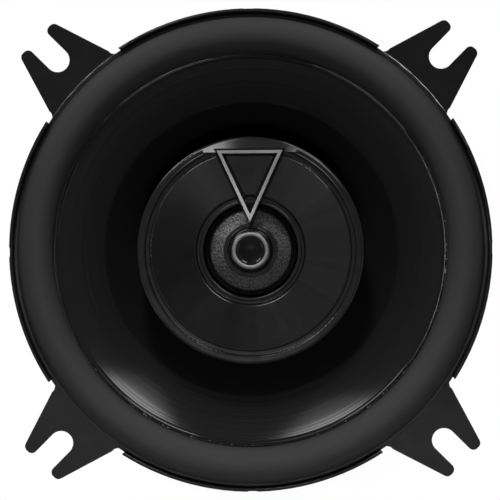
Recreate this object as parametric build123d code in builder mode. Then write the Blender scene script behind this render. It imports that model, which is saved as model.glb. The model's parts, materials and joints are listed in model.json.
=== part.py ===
"""Four-inch coaxial car speaker: a moulded-cone woofer with a tweeter carried on a post through its pole.

Millimetres. The speaker lies on its magnet and faces +Z. The origin is the centre of the mounting flange's
rear face, so the ears and the flange fill z = 0 to one sheet thickness, and the motor hangs below them.
The triangle on the tweeter's faceplate points its flat side towards +Y, and the terminals leave towards -Y.
"""

from build123d import *
from math import copysign, cos, radians, sin, tan
import os

# Basket, stamped from sheet steel.
SHEET = 0.8
RIM_RADIUS = 51.0
LIP_HEIGHT = 3.0
SCREW_SPACING = 81.0  # between neighbouring screw slots, on a square
SLOT_RADIUS = 2.55
EAR_REACH = 63.5  # from the axis to the prong tips
EAR_HALF_WIDTH = 8.9  # where it leaves the flange
EAR_TAPER = 17.3  # degrees each side
EAR_HALF_GAP = 12.3  # degrees either side of an ear where the lip is left out
EAR_COUNT = 4
WINDOW_COUNT = 6
SPOKE_WIDTH = 9.0
LEDGE_TOP = -20.4  # where the spider is glued down
LEDGE_INNER, LEDGE_OUTER = 28.6, 32.4
WINDOW_INNER = 33.8
WALL_TOP_RADIUS = 44.4  # where the flange turns down
WALL_KNEE = (42.3, -9.6)  # where the wall begins to lean inwards
FLOOR_RADIUS, FLOOR_BORE = 27.0, 14.6

# Motor, from the basket's underside to the back of the rubber boot.
BASKET_BOTTOM = -26.0
PLATE_THICKNESS = 4.0
MAGNET_THICKNESS = 9.0
MAGNET_RADIUS, MAGNET_BORE = 35.0, 16.5
PLATE_RADIUS = 31.0
BOOT_WALL = 1.2
POLE_RADIUS = 12.3
GAP_RADIUS = 13.5  # top plate's bore
RIVET_CIRCLE, RIVET_RADIUS, RIVET_DEPTH = 21.0, 1.5, 3.0

# Woofer's moving parts.
FORMER_INNER, FORMER_OUTER = 12.55, 12.7
COIL_OUTER = 13.15
COIL_LENGTH = 8.8
CONE_EDGE = (41.0, 1.8)
CONE_EDGE_SLOPE = 18.0
CONE_CURVE = 64.5
CONE_SWEEP = 30.0
CONE_WALL = 0.5
ROLL_CENTRE, ROLL_RADIUS = 45.5, 3.6
RUBBER = 0.5
SPIDER_WALL = 0.35
SPIDER_WAVES = 8

# Tweeter.
DISC_RADIUS = 24.0
DISC_TOP = 3.4
RIB_REACH = 23.4  # radius at which the triangle's ends run out on the disc
GROOVE_INNER, GROOVE_OUTER = 21.15, 22.35
STEP_RADIUS = 11.6
THROAT_RADIUS = 9.95
PLUG_RADIUS, PLUG_NECK = 5.7, 4.5
DOME_RADIUS, DOME_CROWN, DOME_RISE, DOME_WALL = 8.5, 1.8, 2.45, 0.12
TRIANGLE_TOP = 5.2
TRIANGLE_FLAT, TRIANGLE_APEX = 21.1, 5.94  # heights along Y of its flat side and its point
TRIANGLE_HALF = 6.95  # half its width
TRIM_WIDTH, TRIM_THICKNESS, TRIM_EDGE = 0.68, 0.25, 0.08
RIB_DRAFT, RIB_INNER_DRAFT = 17.0, 15.0
RING_INNER, RING_OUTER, RING_TOP = 3.1, 3.86, 4.95
TWEETER_GAP_INNER, TWEETER_GAP_OUTER = 8.1, 9.2
POST_OUTER, POST_BORE = 3.2, 2.0

# Wiring and terminals, on the -Y side.
TAB_WIDTH = 8.0
BOARD_SIZE = (26.0, 5.6, 1.6)
BOARD_Y = -37.4
BLADE_X = 8.5
BLADE_TIP_Y = -44.9
POSITIVE_WIDTH, NEGATIVE_WIDTH, BLADE_THICKNESS = 4.8, 2.8, 0.8
WIRE_RADIUS, BARE_WIRE_RADIUS, BRAID_RADIUS = 0.55, 0.3, 0.45
WIRE_X = 0.75
NEGATIVE_WIRE_X, CAP_LEAD_X = -5.2, 11.6
SMALL_RIVET = 1.0
CAP_RADIUS, CAP_LENGTH = 3.75, 15.0

UPWARDS = (Align.CENTER, Align.CENTER, Align.MIN)
CLEAR = 0.05  # radial room between parts that slide together or are glued
PLATE_TOP = BASKET_BOTTOM
MAGNET_TOP = PLATE_TOP - PLATE_THICKNESS
YOKE_TOP = MAGNET_TOP - MAGNET_THICKNESS
YOKE_BOTTOM = YOKE_TOP - PLATE_THICKNESS
BACK = YOKE_BOTTOM - BOOT_WALL
SLOT_CENTRE = SCREW_SPACING / 2**0.5
SPIDER_Z = LEDGE_TOP + SPIDER_WALL / 2
BOARD_BOTTOM = LEDGE_TOP
BOARD_TOP = BOARD_BOTTOM + BOARD_SIZE[2]
COIL_CENTRE = PLATE_TOP - PLATE_THICKNESS / 2

os.makedirs("parts", exist_ok=True)


def save(piece, label):
    """Names a finished piece and writes it to its own file."""
    piece.part.label = label
    export_step(piece.part, f"parts/{label}.step")


def ring(inner, outer, low, high, edge=0.0):
    """A plain ring, or a disc where inner is 0, with its outer edges broken by a small chamfer."""
    with BuildPart() as turned:
        with BuildSketch(Plane.XY.offset(low)):
            Circle(outer)
            if inner:
                Circle(inner, mode=Mode.SUBTRACT)
        extrude(amount=high - low)
        if edge:
            chamfer(turned.edges().filter_by(GeomType.CIRCLE).group_by(SortBy.RADIUS)[-1], edge)
    return turned


def turned(*outline):
    """A solid of revolution about the axis, from an outline of (radius, height) corners."""
    with BuildPart() as piece:
        with BuildSketch(Plane.XZ):
            with BuildLine():
                Polyline(*outline, close=True)
            make_face()
        revolve(axis=Axis.Z)
    return piece


def wire(radius, *runs):
    """Round wires, one for each list of corners, with a bend eased into every corner."""
    with BuildPart() as strands:
        for corners in runs:
            with BuildLine() as path:
                if len(corners) == 2:
                    Line(*corners)
                else:
                    FilletPolyline(*corners, radius=2.2 * radius)
            with BuildSketch(path.line ^ 0):
                Circle(radius)
            sweep(path=path.line)
    return strands


def dome_arc(crown, edge_radius, edge):
    """An arc centred on the axis, from the height of its crown out to an edge, for a turned dome or dish."""
    rise = crown - edge
    curve = (edge_radius**2 + rise**2) / (2 * rise)
    half_way = edge_radius / 2
    height = copysign((curve**2 - half_way**2) ** 0.5, curve)
    return ThreePointArc((0, crown), (half_way, crown - curve + height), (edge_radius, edge))


# ---------------------------------------------------------------------------------------------- basket
def ear_outline():
    """One forked ear lying along +X: a tapering fork with an open screw slot."""
    overlap, prong_rounding = 3.0, 1.2
    side = tan(radians(EAR_TAPER))
    root = RIM_RADIUS - overlap
    half_root = EAR_HALF_WIDTH + side * overlap
    half_tip = half_root - side * (EAR_REACH - root)
    slot_length = EAR_REACH - SLOT_CENTRE + overlap
    with BuildSketch() as ear:
        with BuildLine():
            far_side = ((EAR_REACH, -half_tip), (root, -half_root))
            Polyline((root, half_root), (EAR_REACH, half_tip), *far_side, close=True)
        make_face()
        with Locations((SLOT_CENTRE, 0)):
            Circle(SLOT_RADIUS, mode=Mode.SUBTRACT)
        with Locations((SLOT_CENTRE + slot_length / 2, 0)):
            Rectangle(slot_length, 2 * SLOT_RADIUS, mode=Mode.SUBTRACT)
        fillet(ear.vertices().group_by(Axis.X)[-1], prong_rounding)
    return ear.sketch


def window_cutter():
    """The tool that opens one window along +X, between two spokes of even width."""
    reach = 70.0
    low, high = LEDGE_TOP - 3.0, -5.0
    floor_corner, wall_corner = 2.5, 3.0
    half_pitch = radians(180 / WINDOW_COUNT)
    start = SPOKE_WIDTH / 2 / sin(half_pitch)
    with BuildPart() as tool:
        with BuildSketch(Plane.XY.offset(low)) as opening:
            with BuildLine():
                far = (start + reach * cos(half_pitch), reach * sin(half_pitch))
                Polyline((start, 0), far, (far[0], -far[1]), close=True)
            make_face()
            Circle(WALL_TOP_RADIUS, mode=Mode.INTERSECT)
            Circle(WINDOW_INNER, mode=Mode.SUBTRACT)
            fillet(opening.vertices().group_by(SortBy.DISTANCE)[0], floor_corner)
        extrude(amount=high - low)
        top = tool.faces().sort_by(Axis.Z)[-1]
        fillet(top.edges().filter_by(GeomType.LINE), wall_corner)
    return tool.part


with BuildPart() as basket:
    # Upturned lip, left out at the ears and dented once between each pair of them.
    with BuildSketch(Plane.XZ) as lip:
        with Locations((RIM_RADIUS - SHEET / 2, LIP_HEIGHT / 2)):
            Rectangle(SHEET, LIP_HEIGHT)
        lip_crest, lip_bend, gap_depth = 0.3, 0.6, 4.0
        fillet(lip.vertices().group_by(Axis.Y)[-1], lip_crest)
        fillet(lip.vertices().group_by(Axis.Y)[0].sort_by(Axis.X)[-1], lip_bend)
    revolve(axis=Axis.Z)
    with BuildSketch() as gaps:
        with PolarLocations(0, EAR_COUNT, start_angle=45):
            with Locations((RIM_RADIUS, 0)):
                Rectangle(gap_depth, 2 * RIM_RADIUS * sin(radians(EAR_HALF_GAP)))
    extrude(amount=LIP_HEIGHT, mode=Mode.SUBTRACT)
    dent_radius, dent_depth = 3.4, 0.25
    with BuildSketch(Plane.XY.offset(SHEET)) as dents:
        with PolarLocations(RIM_RADIUS + dent_radius - dent_depth, EAR_COUNT):
            Circle(dent_radius)
    extrude(amount=LIP_HEIGHT, mode=Mode.SUBTRACT)
    # Flange, tapering wall, spider ledge and floor, all one sheet.
    with BuildSketch(Plane.XZ) as shell:
        with BuildLine():
            FilletPolyline(
                (RIM_RADIUS - lip_bend, SHEET / 2),
                (WALL_TOP_RADIUS, SHEET / 2),
                WALL_KNEE,
                (LEDGE_OUTER, LEDGE_TOP - SHEET / 2),
                (LEDGE_INNER, LEDGE_TOP - SHEET / 2),
                (FLOOR_RADIUS, BASKET_BOTTOM + SHEET / 2),
                (FLOOR_BORE, BASKET_BOTTOM + SHEET / 2),
                radius=1.5 * SHEET,
            )
        trace(line_width=SHEET)
    revolve(axis=Axis.Z)
    with BuildSketch() as ears:
        with PolarLocations(0, EAR_COUNT, start_angle=45):
            add(ear_outline())
    extrude(amount=SHEET)
    dip_radius, dip_half_angle = 1.2, 11.3
    dip_centre = RIM_RADIUS - lip_bend + dip_radius
    with BuildSketch() as dips:
        with PolarLocations(dip_centre, EAR_COUNT, start_angle=45 - dip_half_angle):
            Circle(dip_radius)
        with PolarLocations(dip_centre, EAR_COUNT, start_angle=45 + dip_half_angle):
            Circle(dip_radius)
    extrude(amount=SHEET, mode=Mode.SUBTRACT)
    with PolarLocations(0, WINDOW_COUNT, start_angle=30):
        add(window_cutter(), mode=Mode.SUBTRACT)
    # Tab that carries the terminal board, in the -Y window.
    tab_inner, tab_outer = LEDGE_OUTER - 0.6, -BOARD_Y + 2.2
    with BuildSketch(Plane.XY.offset(LEDGE_TOP - SHEET)) as tab:
        with Locations((0, -(tab_inner + tab_outer) / 2)):
            Rectangle(TAB_WIDTH, tab_outer - tab_inner)
        fillet(tab.vertices().group_by(Axis.Y)[0], 1.0)
    extrude(amount=SHEET)
    with Locations((0, BOARD_Y, LEDGE_TOP)):
        Hole(SMALL_RIVET + CLEAR, depth=SHEET)
    with Locations((0, 0, BASKET_BOTTOM + SHEET)):
        with PolarLocations(RIVET_CIRCLE, 4):
            Hole(RIVET_RADIUS + CLEAR, depth=SHEET)
save(basket, "basket")

rivet_head_radius, rivet_head_height, rivet_head_rounding = 2.5, 0.8, 0.5
with BuildPart() as basket_rivets:
    with PolarLocations(RIVET_CIRCLE, 4):
        with Locations((0, 0, PLATE_TOP - RIVET_DEPTH)):
            Cylinder(RIVET_RADIUS, RIVET_DEPTH + SHEET, align=UPWARDS)
        with Locations((0, 0, BASKET_BOTTOM + SHEET)):
            Cylinder(rivet_head_radius, rivet_head_height, align=UPWARDS)
    fillet(basket_rivets.faces().group_by(Axis.Z)[-1].edges(), rivet_head_rounding)
save(basket_rivets, "basket_rivets")

# ----------------------------------------------------------------------------------------------- motor
with BuildPart() as top_plate:
    add(ring(GAP_RADIUS, PLATE_RADIUS, MAGNET_TOP, PLATE_TOP, edge=0.4).part)
    with Locations((0, 0, PLATE_TOP)):
        with PolarLocations(RIVET_CIRCLE, 4):
            Hole(RIVET_RADIUS + CLEAR, depth=RIVET_DEPTH + CLEAR)
save(top_plate, "top_plate")

save(ring(MAGNET_BORE, MAGNET_RADIUS, YOKE_TOP, MAGNET_TOP, edge=0.8), "ferrite_magnet")

pole_bore, recess_radius, recess_top, yoke_edge = POST_OUTER + CLEAR, 7.0, YOKE_BOTTOM + 2.6, 0.5
yoke_outline = (
    (pole_bore, PLATE_TOP),
    (POLE_RADIUS - yoke_edge, PLATE_TOP),
    (POLE_RADIUS, PLATE_TOP - yoke_edge),
    (POLE_RADIUS, YOKE_TOP),
    (PLATE_RADIUS, YOKE_TOP),
    (PLATE_RADIUS, YOKE_BOTTOM + yoke_edge),
    (PLATE_RADIUS - yoke_edge, YOKE_BOTTOM),
    (recess_radius, YOKE_BOTTOM),
    (recess_radius, recess_top),
    (pole_bore, recess_top),
)
save(turned(*yoke_outline), "pole_yoke")

boot_outer, boot_opening, boot_top, boot_edge = MAGNET_RADIUS + BOOT_WALL, 15.0, MAGNET_TOP - 1.5, 1.0
with BuildPart() as magnet_boot:
    boot_outline = (
        (boot_opening, BACK),
        (boot_outer - boot_edge, BACK),
        (boot_outer, BACK + boot_edge),
        (boot_outer, boot_top),
        (MAGNET_RADIUS + CLEAR, boot_top),
        (MAGNET_RADIUS + CLEAR, YOKE_TOP),
        (PLATE_RADIUS + CLEAR, YOKE_TOP),
        (PLATE_RADIUS + CLEAR, YOKE_BOTTOM),
        (boot_opening, YOKE_BOTTOM),
    )
    add(turned(*boot_outline).part)
    # Channel for the two tweeter wires, along the back and up the side.
    channel = 2 * (WIRE_X + WIRE_RADIUS) + 0.4
    corner_cut = 1.0
    with BuildSketch(Plane.XY.offset(BACK)):
        with Locations((0, -boot_outer)):
            Rectangle(channel, 2 * (boot_outer - boot_opening + corner_cut))
    extrude(amount=BOOT_WALL, mode=Mode.SUBTRACT)
    with BuildSketch(Plane.XY.offset(BACK)):
        with Locations((0, -boot_outer)):
            Rectangle(channel, 2 * (BOOT_WALL - CLEAR))
    extrude(amount=boot_top - BACK, mode=Mode.SUBTRACT)
    with BuildSketch(Plane.XY.offset(BACK)):
        with Locations((0, -boot_outer)):
            Rectangle(channel, 2 * (BOOT_WALL + corner_cut))
    extrude(amount=BOOT_WALL + corner_cut, mode=Mode.SUBTRACT)
save(magnet_boot, "magnet_boot")

# ---------------------------------------------------------------------------- woofer's moving assembly
cone_centre = (
    CONE_EDGE[0] + CONE_CURVE * sin(radians(CONE_EDGE_SLOPE)),
    CONE_EDGE[1] - CONE_CURVE * cos(radians(CONE_EDGE_SLOPE)),
)
edge_angle = 90.0 + CONE_EDGE_SLOPE
neck_bottom, former_top = -18.4, -16.0
with BuildPart() as cone:
    with BuildSketch(Plane.XZ):
        with BuildLine():
            front = CenterArc(cone_centre, CONE_CURVE, edge_angle, CONE_SWEEP)
            back = CenterArc(cone_centre, CONE_CURVE - CONE_WALL, edge_angle, CONE_SWEEP)
            Line(front @ 0, back @ 0)
            neck = (
                front @ 1,
                (FORMER_OUTER, (front @ 1).Y),
                (FORMER_OUTER, neck_bottom),
                (FORMER_OUTER + CONE_WALL, neck_bottom),
                back @ 1,
            )
            Polyline(*neck)
        make_face()
    revolve(axis=Axis.Z)
save(cone, "cone")

# Half roll between the cone's back and the basket's flange, one even rubber skin.
bond = 2.6  # degrees of the cone's curve that the rubber is glued to
flange_top = SHEET + RUBBER
roll_half = ROLL_RADIUS + 0.3
with BuildPart() as surround:
    with BuildSketch(Plane.XZ):
        with BuildLine():
            upper = CenterArc(cone_centre, CONE_CURVE - CONE_WALL, edge_angle, bond)
            lower = CenterArc(cone_centre, CONE_CURVE - CONE_WALL - RUBBER, edge_angle, bond)
            crest = flange_top + ROLL_RADIUS
            inner_foot = (ROLL_CENTRE - roll_half, flange_top)
            outer_foot = (ROLL_CENTRE + roll_half, flange_top)
            ThreePointArc(inner_foot, (ROLL_CENTRE, crest), outer_foot)
            hollow = roll_half - RUBBER
            inner_heel = (ROLL_CENTRE - hollow, SHEET)
            outer_heel = (ROLL_CENTRE + hollow, SHEET)
            ThreePointArc(inner_heel, (ROLL_CENTRE, crest - RUBBER), outer_heel)
            flange_end = RIM_RADIUS - SHEET - 2 * CLEAR
            Polyline(outer_foot, (flange_end, flange_top), (flange_end, SHEET), outer_heel)
            Line(upper @ 0, inner_foot)
            Line(lower @ 0, inner_heel)
            Line(upper @ 1, lower @ 1)
        make_face()
    revolve(axis=Axis.Z)
save(surround, "surround")

coil_bottom, coil_top, former_tail = COIL_CENTRE - COIL_LENGTH / 2, COIL_CENTRE + COIL_LENGTH / 2, 0.4
save(ring(FORMER_INNER, FORMER_OUTER, coil_bottom - former_tail, former_top), "voice_coil_former")
save(ring(FORMER_OUTER, COIL_OUTER, coil_bottom, coil_top), "voice_coil_winding")

wave_inner, wave_outer, wave_height = 14.5, 28.0, 0.6
spider_outer = 31.4
with BuildPart() as spider:
    with BuildSketch(Plane.XZ):
        with BuildLine() as centre_line:
            pitch = (wave_outer - wave_inner) / SPIDER_WAVES
            Line((FORMER_OUTER, SPIDER_Z), (wave_inner, SPIDER_Z))
            for wave in range(SPIDER_WAVES):
                start = wave_inner + wave * pitch
                crest = (start + pitch / 2, SPIDER_Z + wave_height * (-1) ** wave)
                ThreePointArc((start, SPIDER_Z), crest, (start + pitch, SPIDER_Z))
            Line((wave_outer, SPIDER_Z), (spider_outer, SPIDER_Z))
        trace(line_width=SPIDER_WALL)
        collar_height = 1.2
        with Locations((FORMER_OUTER + SPIDER_WALL / 2, SPIDER_Z + collar_height / 2)):
            Rectangle(SPIDER_WALL, collar_height)
    revolve(axis=Axis.Z)
save(spider, "spider")

# Braided leads, each from its terminal over the spider to the underside of the cone.
with BuildPart() as tinsel_leads:
    for side in (-1, 1):
        lead_start = (side * BLADE_X, BOARD_Y + 2.0, BOARD_TOP + BLADE_THICKNESS + BRAID_RADIUS)
        lead_rise, lead_slack = (side * 7.6, -29.5, -16.4), (side * 6.3, -23.0, -15.4)
        lead_end = (side * 5.2, -18.0, -12.5)
        with BuildLine() as path:
            Spline(lead_start, lead_rise, lead_slack, lead_end)
        with BuildSketch(path.line ^ 0):
            Circle(BRAID_RADIUS)
        sweep(path=path.line)
save(tinsel_leads, "tinsel_leads")

# --------------------------------------------------------------------------------------------- tweeter
skirt_bottom, plate_under, throat_bottom = -1.5, 1.0, -1.2
skirt_inner = DISC_RADIUS - 1.3
throat_outer = THROAT_RADIUS + 0.9
rib_top = TRIANGLE_TOP - TRIM_THICKNESS
flare_bottom, rib_bottom, margin = 3.3, 1.5, 0.1
with BuildPart() as rib:
    # Triangular band whose upper part flares outwards, with steep sides below that.
    flare = margin + (rib_top - flare_bottom) * tan(radians(RIB_DRAFT))
    corners = ((-TRIANGLE_HALF, TRIANGLE_FLAT), (TRIANGLE_HALF, TRIANGLE_FLAT), (0, TRIANGLE_APEX))
    with BuildSketch(Plane.XY.offset(rib_top)):
        with BuildLine():
            Polyline(*corners, close=True)
        make_face()
        offset(amount=margin, kind=Kind.INTERSECTION)
    extrude(amount=flare_bottom - rib_top, taper=-RIB_DRAFT)
    with BuildSketch(Plane.XY.offset(flare_bottom)):
        with BuildLine():
            Polyline(*corners, close=True)
        make_face()
        offset(amount=flare, kind=Kind.INTERSECTION)
    extrude(amount=rib_bottom - flare_bottom)
    with BuildSketch(Plane.XY.offset(rib_top)):
        with BuildLine():
            Polyline(*corners, close=True)
        make_face()
        offset(amount=-TRIM_WIDTH - margin, kind=Kind.INTERSECTION)
    extrude(amount=rib_bottom - rib_top, taper=RIB_INNER_DRAFT, mode=Mode.SUBTRACT)
    with BuildSketch(Plane.XY.offset(rib_bottom)):
        Circle(RIB_REACH)
    extrude(amount=TRIANGLE_TOP, mode=Mode.INTERSECT)

with BuildPart() as apron:
    # Sloping ground between the triangle's flat side and the disc's rim.
    apron_start, apron_high, apron_low = TRIANGLE_FLAT - 0.4, 4.2, 2.6
    apron_end = RIB_REACH + 0.1
    with BuildSketch(Plane.YZ):
        with BuildLine():
            apron_corners = (
                (apron_start, apron_low),
                (apron_start, apron_high),
                (apron_end, DISC_TOP - CLEAR / 2),
                (apron_end, apron_low),
            )
            Polyline(*apron_corners, close=True)
        make_face()
    extrude(amount=DISC_RADIUS / 2, both=True)
    with BuildSketch(Plane.XY.offset(apron_low)):
        Circle(RIB_REACH + CLEAR)
    extrude(amount=apron_high, mode=Mode.INTERSECT)

ring_seat = RING_TOP - TRIM_THICKNESS
dish_radius, dish_edge, dish_bottom = RING_INNER - 0.6, ring_seat - 0.25, ring_seat - 0.45
plug_low, plug_flange_top, plug_bead_top, plug_shoulder = 1.2, 2.15, 2.35, 3.6
# Outline corners of the face, from the throat out to the disc's edge.
bead_top, ledge, step_top, face_edge_top, groove_floor = 1.95, 1.7, 2.3, 3.3, 2.75
bead_corners = ((THROAT_RADIUS, bead_top), (THROAT_RADIUS + 0.7, bead_top))
ledge_corners = ((THROAT_RADIUS + 0.85, ledge), (STEP_RADIUS - 0.3, ledge))
step_corner = (STEP_RADIUS, step_top)
groove_floor_corners = ((GROOVE_INNER + 0.2, groove_floor), (GROOVE_OUTER - 0.2, groove_floor))
groove_edge_corners = ((GROOVE_INNER, face_edge_top), (GROOVE_OUTER, DISC_TOP))
disc_corner = (DISC_RADIUS, DISC_TOP)
with BuildPart() as tweeter_faceplate:
    face_outline = (
        (THROAT_RADIUS, throat_bottom),
        *bead_corners,
        *ledge_corners,
        step_corner,
        groove_edge_corners[0],
        *groove_floor_corners,
        groove_edge_corners[1],
        disc_corner,
        (DISC_RADIUS, skirt_bottom),
        (skirt_inner, skirt_bottom),
        (skirt_inner, plate_under),
        (throat_outer, plate_under),
        (throat_outer, throat_bottom),
    )
    # Moulding radii, each with the outline corners that it rounds.
    rounding = {
        0.1: ledge_corners + groove_floor_corners,
        0.25: bead_corners,
        0.3: groove_edge_corners,
        0.5: (step_corner,),
        0.6: (disc_corner,),
    }
    with BuildSketch(Plane.XZ) as face:
        with BuildLine():
            Polyline(*face_outline, close=True)
        make_face()
        for radius, spots in rounding.items():
            fillet([face.vertices().sort_by_distance(spot)[0] for spot in spots], radius)
    revolve(axis=Axis.Z)
    add(rib.part)
    add(apron.part)
    # Phase plug in front of the dome, with a shallow dish inside its ring.
    with BuildSketch(Plane.XZ):
        with BuildLine():
            plug_outline = (
                (0, plug_low),
                (PLUG_RADIUS, plug_low),
                (PLUG_RADIUS, plug_flange_top - 0.15),
                (PLUG_RADIUS - 0.15, plug_flange_top),
                (PLUG_NECK + 0.55, plug_flange_top),
                (PLUG_NECK + 0.4, plug_bead_top),
                (PLUG_NECK + 0.25, plug_bead_top),
                (PLUG_NECK + 0.1, plug_flange_top),
                (PLUG_NECK, plug_shoulder),
                (PLUG_NECK - 0.15, ring_seat - 0.5),
                (RING_OUTER + 0.25, ring_seat - 0.12),
                (RING_OUTER + 0.1, ring_seat),
                (dish_radius + 0.3, ring_seat),
                (dish_radius, dish_edge),
            )
            Polyline(*plug_outline)
            dome_arc(dish_bottom, dish_radius, dish_edge)
            Line((0, dish_bottom), (0, plug_low))
        make_face()
    revolve(axis=Axis.Z)
    # Hollow the plug and the point of the rib over the dome, following its curve.
    with BuildSketch(Plane.XZ):
        with BuildLine():
            hollow_top, hollow_radius, hollow_edge = 2.5, 5.35, 1.42
            dome_arc(hollow_top, hollow_radius, hollow_edge)
            Polyline((hollow_radius, hollow_edge), (hollow_radius, 0), (0, 0), (0, hollow_top))
        make_face()
    revolve(axis=Axis.Z, mode=Mode.SUBTRACT)
save(tweeter_faceplate, "tweeter_faceplate")

with BuildPart() as trim_triangle:
    with BuildSketch(Plane.XY.offset(rib_top)):
        with BuildLine():
            Polyline(*corners, close=True)
        make_face()
        offset(amount=-TRIM_WIDTH, kind=Kind.INTERSECTION, mode=Mode.SUBTRACT)
    extrude(amount=TRIM_THICKNESS)
    chamfer(trim_triangle.faces().sort_by(Axis.Z)[-1].edges(), TRIM_EDGE)
save(trim_triangle, "trim_triangle")

with BuildPart() as trim_ring:
    with BuildSketch(Plane.XZ):
        with BuildLine():
            ring_middle, ring_edge = (RING_INNER + RING_OUTER) / 2, RING_TOP - 0.15
            ThreePointArc((RING_INNER, ring_edge), (ring_middle, RING_TOP), (RING_OUTER, ring_edge))
            ring_foot = ((RING_OUTER, ring_seat), (RING_INNER, ring_seat))
            Polyline((RING_OUTER, ring_edge), *ring_foot, (RING_INNER, ring_edge))
        make_face()
    revolve(axis=Axis.Z)
save(trim_ring, "trim_ring")

yoke_floor, yoke_rim, yoke_wall = -7.5, -1.4, 10.8
chamber_floor, chamber_radius, cup_bottom, boss_radius, boss_bottom = -10.0, 9.6, -11.2, 5.0, -14.0
cup_rim, cup_shoulder, cup_knee, cup_base = DISC_RADIUS - 0.6, -2.1, (12.3, -7.0), 11.2
cup_inside, cup_lip_top = 21.45, plate_under - 0.4
cup_outline = (
    (skirt_inner - CLEAR, cup_lip_top),
    (skirt_inner - CLEAR, skirt_bottom),
    (cup_rim, skirt_bottom),
    (cup_rim, cup_shoulder),
    cup_knee,
    (cup_base, cup_bottom),
    (boss_radius, cup_bottom),
    (boss_radius, boss_bottom),
    (POST_OUTER + CLEAR, boss_bottom),
    (POST_OUTER + CLEAR, chamber_floor),
    (chamber_radius, chamber_floor),
    (chamber_radius, yoke_floor),
    (yoke_wall + CLEAR, yoke_floor),
    (yoke_wall + CLEAR, -6.33),
    (cup_inside, -1.65),
    (cup_inside, cup_lip_top),
)
save(turned(*cup_outline), "tweeter_cup")

post_bottom, post_top = YOKE_BOTTOM + 0.2, chamber_floor + 0.4
collar_radius, collar_top, collar_edge = 6.5, PLATE_TOP + 2.5, 0.5
post_outline = (
    (POST_BORE, post_bottom),
    (POST_OUTER, post_bottom),
    (POST_OUTER, PLATE_TOP),
    (collar_radius, PLATE_TOP),
    (collar_radius, collar_top - collar_edge),
    (collar_radius - collar_edge, collar_top),
    (POST_OUTER, collar_top),
    (POST_OUTER, post_top),
    (POST_BORE, post_top),
)
save(turned(*post_outline), "tweeter_post")

nut_across, nut_height = 10.0, 2.2
with BuildPart() as post_nut:
    with BuildSketch(Plane.XY.offset(recess_top)):
        RegularPolygon(nut_across / 2, 6, major_radius=False)
        Circle(POST_OUTER + CLEAR, mode=Mode.SUBTRACT)
    extrude(amount=-nut_height)
save(post_nut, "post_nut")

magnet_floor = yoke_floor + 1.4
tweeter_yoke_outline = (
    (0, yoke_floor),
    (yoke_wall, yoke_floor),
    (yoke_wall, yoke_rim),
    (TWEETER_GAP_OUTER, yoke_rim),
    (TWEETER_GAP_OUTER, magnet_floor),
    (0, magnet_floor),
)
save(turned(*tweeter_yoke_outline), "tweeter_yoke")
cap_bottom, cap_top = -3.1, -1.9
slug_radius, pad_radius, pad_height = 7.4, 7.0, 0.9
save(ring(0, slug_radius, magnet_floor, cap_bottom, edge=0.3), "tweeter_magnet")
save(ring(0, TWEETER_GAP_INNER, cap_bottom, cap_top, edge=0.1), "tweeter_pole_cap")
save(ring(0, pad_radius, cap_top, cap_top + pad_height, edge=0.3), "tweeter_damping_pad")

# Silk dome, its voice coil and its own small surround.
dome_base = DOME_CROWN - DOME_RISE
dome_curve = (DOME_RADIUS**2 + DOME_RISE**2) / (2 * DOME_RISE)
dome_centre = DOME_CROWN - dome_curve
hem_radius, hem_bottom = 8.8, dome_base - DOME_WALL
with BuildPart() as tweeter_dome:
    with BuildSketch(Plane.XZ):
        with BuildLine():
            inner_curve = dome_curve - DOME_WALL
            inner_radius = (inner_curve**2 - (hem_bottom - dome_centre) ** 2) ** 0.5
            outside = dome_arc(DOME_CROWN, DOME_RADIUS, dome_base)
            inside = dome_arc(DOME_CROWN - DOME_WALL, inner_radius, hem_bottom)
            hem = ((hem_radius, dome_base), (hem_radius, hem_bottom))
            Polyline((DOME_RADIUS, dome_base), *hem, inside @ 1)
            Line(outside @ 0, inside @ 0)
        make_face()
    revolve(axis=Axis.Z)
save(tweeter_dome, "tweeter_dome")

with BuildPart() as tweeter_surround:
    with BuildSketch(Plane.XZ):
        with BuildLine():
            clamp_inner, clamp_outer = THROAT_RADIUS - CLEAR, yoke_wall - CLEAR
            crown_radius, crown_top = 9.45, -0.35
            ThreePointArc((hem_radius, dome_base), (crown_radius, crown_top), (clamp_inner, throat_bottom))
            under_crown = (crown_radius - CLEAR, crown_top - 0.15)
            ThreePointArc((hem_radius, hem_bottom), under_crown, (clamp_inner - 0.12, yoke_rim))
            Polyline(
                (clamp_inner, throat_bottom),
                (clamp_outer, throat_bottom),
                (clamp_outer, yoke_rim),
                (clamp_inner - 0.12, yoke_rim),
            )
            Line((hem_radius, dome_base), (hem_radius, hem_bottom))
        make_face()
    revolve(axis=Axis.Z)
save(tweeter_surround, "tweeter_surround")

small_former_inner, small_former_outer, small_former_bottom = 8.45, 8.55, -4.2
small_coil_outer, small_coil_bottom, small_coil_top = 8.85, -3.6, -1.6
save(ring(small_former_inner, small_former_outer, small_former_bottom, hem_bottom), "tweeter_coil_former")
save(ring(small_former_outer, small_coil_outer, small_coil_bottom, small_coil_top), "tweeter_coil_winding")

# --------------------------------------------------------------------------------- terminals and wiring
board_corner = 0.8
with BuildPart() as terminal_board:
    with BuildSketch(Plane.XY.offset(BOARD_BOTTOM)) as board:
        with Locations((0, BOARD_Y)):
            Rectangle(BOARD_SIZE[0], BOARD_SIZE[1])
        fillet(board.vertices(), board_corner)
        with Locations((0, BOARD_Y), (-BLADE_X, BOARD_Y), (BLADE_X, BOARD_Y)):
            Circle(SMALL_RIVET + CLEAR, mode=Mode.SUBTRACT)
        with Locations((NEGATIVE_WIRE_X, BOARD_Y)):
            Circle(WIRE_RADIUS + CLEAR, mode=Mode.SUBTRACT)
        with Locations((CAP_LEAD_X, BOARD_Y)):
            Circle(BARE_WIRE_RADIUS + CLEAR, mode=Mode.SUBTRACT)
    extrude(amount=BOARD_SIZE[2])
save(terminal_board, "terminal_board")


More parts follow.
